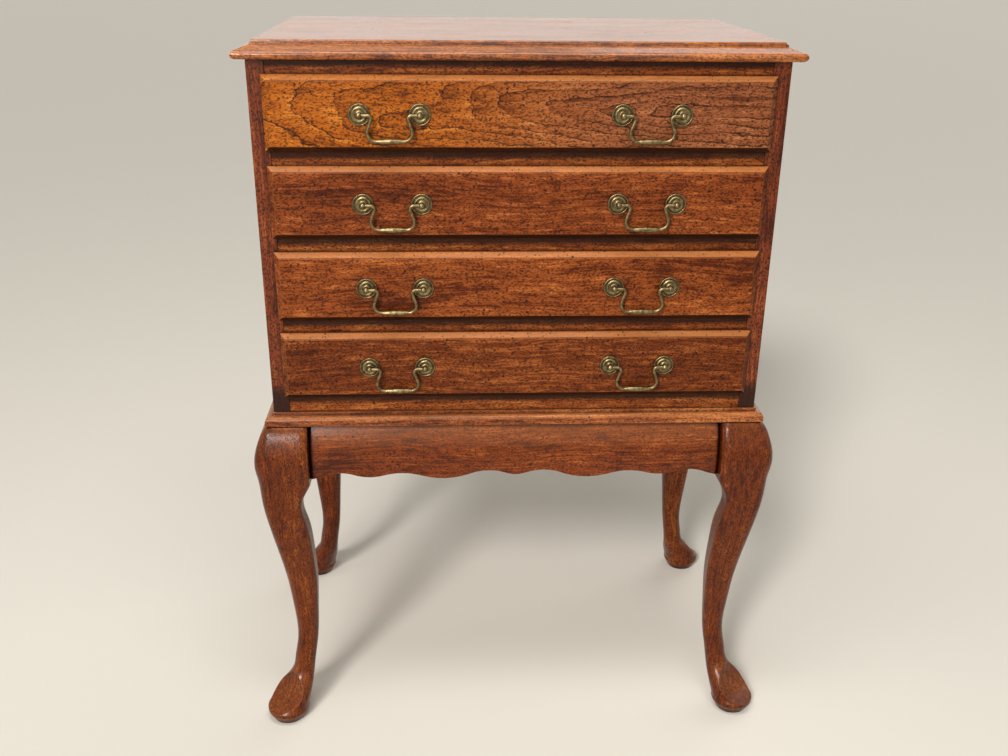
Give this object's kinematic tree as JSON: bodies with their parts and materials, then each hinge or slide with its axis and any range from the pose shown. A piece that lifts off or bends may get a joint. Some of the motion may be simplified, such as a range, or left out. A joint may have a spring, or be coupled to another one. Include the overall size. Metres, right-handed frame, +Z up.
{
  "type": "flatware chest on stand",
  "caption": "Wooden flatware chest with lipped drawers, brass bail pulls and a moulded top, on a stand with cabriole legs and a scalloped apron; the drawers slide and the bails swing.",
  "frame": {"origin": "on the floor, under the middle of the chest", "axes": "+Z up; the drawers open towards -Y; +X to the right of someone who faces the drawers"},
  "size_m": [0.645, 0.397, 0.8548],
  "materials": {
    "cherry_case": "satin lacquer",
    "cherry_drawer_front": "satin lacquer",
    "secondary_wood": "plain, sealed",
    "antique_brass": "antiqued",
    "steel": "zinc plated",
    "felt": "felt",
    "flocked_rack": "flocked"
  },
  "bodies": {
    "chest": {"top_panel": "cherry_case", "right_side_panel": "cherry_case", "left_side_panel": "cherry_case", "top_rail": "cherry_case", "drawer_dividers": "cherry_case", "bottom_rail": "cherry_case", "stand_frame_front": "cherry_case", "stand_frame_sides": "cherry_case", "stand_frame_back": "cherry_case", "leg_back_right": "cherry_case", "leg_back_left": "cherry_case", "leg_front_right": "cherry_case", "leg_front_left": "cherry_case", "front_apron": "cherry_case", "side_aprons": "cherry_case", "back_apron": "cherry_case", "back_panel": "secondary_wood", "bottom_panel": "secondary_wood", "drawer_runners": "secondary_wood", "top_cleats": "secondary_wood", "corner_blocks": "secondary_wood", "top_screws": "steel", "corner_bolts": "steel"},
    "drawer_1": {"drawer_1_front": "cherry_drawer_front", "drawer_1_sides": "secondary_wood", "drawer_1_back": "secondary_wood", "drawer_1_bottom": "secondary_wood", "drawer_1_lining": "felt", "drawer_1_rosettes": "antique_brass", "drawer_1_posts": "antique_brass", "flatware_racks": "flocked_rack"},
    "drawer_1_left_bail": {"drawer_1_left_bail": "antique_brass"},
    "drawer_1_right_bail": {"drawer_1_right_bail": "antique_brass"},
    "drawer_2": {"drawer_2_front": "cherry_drawer_front", "drawer_2_sides": "secondary_wood", "drawer_2_back": "secondary_wood", "drawer_2_bottom": "secondary_wood", "drawer_2_lining": "felt", "drawer_2_rosettes": "antique_brass", "drawer_2_posts": "antique_brass"},
    "drawer_2_left_bail": {"drawer_2_left_bail": "antique_brass"},
    "drawer_2_right_bail": {"drawer_2_right_bail": "antique_brass"},
    "drawer_3": {"drawer_3_front": "cherry_drawer_front", "drawer_3_sides": "secondary_wood", "drawer_3_back": "secondary_wood", "drawer_3_bottom": "secondary_wood", "drawer_3_lining": "felt", "drawer_3_rosettes": "antique_brass", "drawer_3_posts": "antique_brass"},
    "drawer_3_left_bail": {"drawer_3_left_bail": "antique_brass"},
    "drawer_3_right_bail": {"drawer_3_right_bail": "antique_brass"},
    "drawer_4": {"drawer_4_front": "cherry_drawer_front", "drawer_4_sides": "secondary_wood", "drawer_4_back": "secondary_wood", "drawer_4_bottom": "secondary_wood", "drawer_4_lining": "felt", "drawer_4_rosettes": "antique_brass", "drawer_4_posts": "antique_brass"},
    "drawer_4_left_bail": {"drawer_4_left_bail": "antique_brass"},
    "drawer_4_right_bail": {"drawer_4_right_bail": "antique_brass"}
  },
  "joints": [
    {"name": "drawer_1_slide", "type": "slide", "parent": "chest", "child": "drawer_1", "axis": [0, -1, 0], "range_m": [0, 0.23]},
    {"name": "drawer_1_left_bail_swing", "type": "hinge", "parent": "drawer_1", "child": "drawer_1_left_bail", "pos_m": [-0.1386, -0.1794, 0.7816], "axis": [-1, 0, 0], "range_deg": [-9.5, 189.5]},
    {"name": "drawer_1_right_bail_swing", "type": "hinge", "parent": "drawer_1", "child": "drawer_1_right_bail", "pos_m": [0.1386, -0.1794, 0.7816], "axis": [-1, 0, 0], "range_deg": [-9.5, 189.5]},
    {"name": "drawer_2_slide", "type": "slide", "parent": "chest", "child": "drawer_2", "axis": [0, -1, 0], "range_m": [0, 0.23]},
    {"name": "drawer_2_left_bail_swing", "type": "hinge", "parent": "drawer_2", "child": "drawer_2_left_bail", "pos_m": [-0.1386, -0.1794, 0.6864], "axis": [-1, 0, 0], "range_deg": [-9.5, 189.5]},
    {"name": "drawer_2_right_bail_swing", "type": "hinge", "parent": "drawer_2", "child": "drawer_2_right_bail", "pos_m": [0.1386, -0.1794, 0.6864], "axis": [-1, 0, 0], "range_deg": [-9.5, 189.5]},
    {"name": "drawer_3_slide", "type": "slide", "parent": "chest", "child": "drawer_3", "axis": [0, -1, 0], "range_m": [0, 0.23]},
    {"name": "drawer_3_left_bail_swing", "type": "hinge", "parent": "drawer_3", "child": "drawer_3_left_bail", "pos_m": [-0.1386, -0.1794, 0.5912], "axis": [-1, 0, 0], "range_deg": [-9.5, 189.5]},
    {"name": "drawer_3_right_bail_swing", "type": "hinge", "parent": "drawer_3", "child": "drawer_3_right_bail", "pos_m": [0.1386, -0.1794, 0.5912], "axis": [-1, 0, 0], "range_deg": [-9.5, 189.5]},
    {"name": "drawer_4_slide", "type": "slide", "parent": "chest", "child": "drawer_4", "axis": [0, -1, 0], "range_m": [0, 0.23]},
    {"name": "drawer_4_left_bail_swing", "type": "hinge", "parent": "drawer_4", "child": "drawer_4_left_bail", "pos_m": [-0.1386, -0.1794, 0.496], "axis": [-1, 0, 0], "range_deg": [-9.5, 189.5]},
    {"name": "drawer_4_right_bail_swing", "type": "hinge", "parent": "drawer_4", "child": "drawer_4_right_bail", "pos_m": [0.1386, -0.1794, 0.496], "axis": [-1, 0, 0], "range_deg": [-9.5, 189.5]}
  ]
}
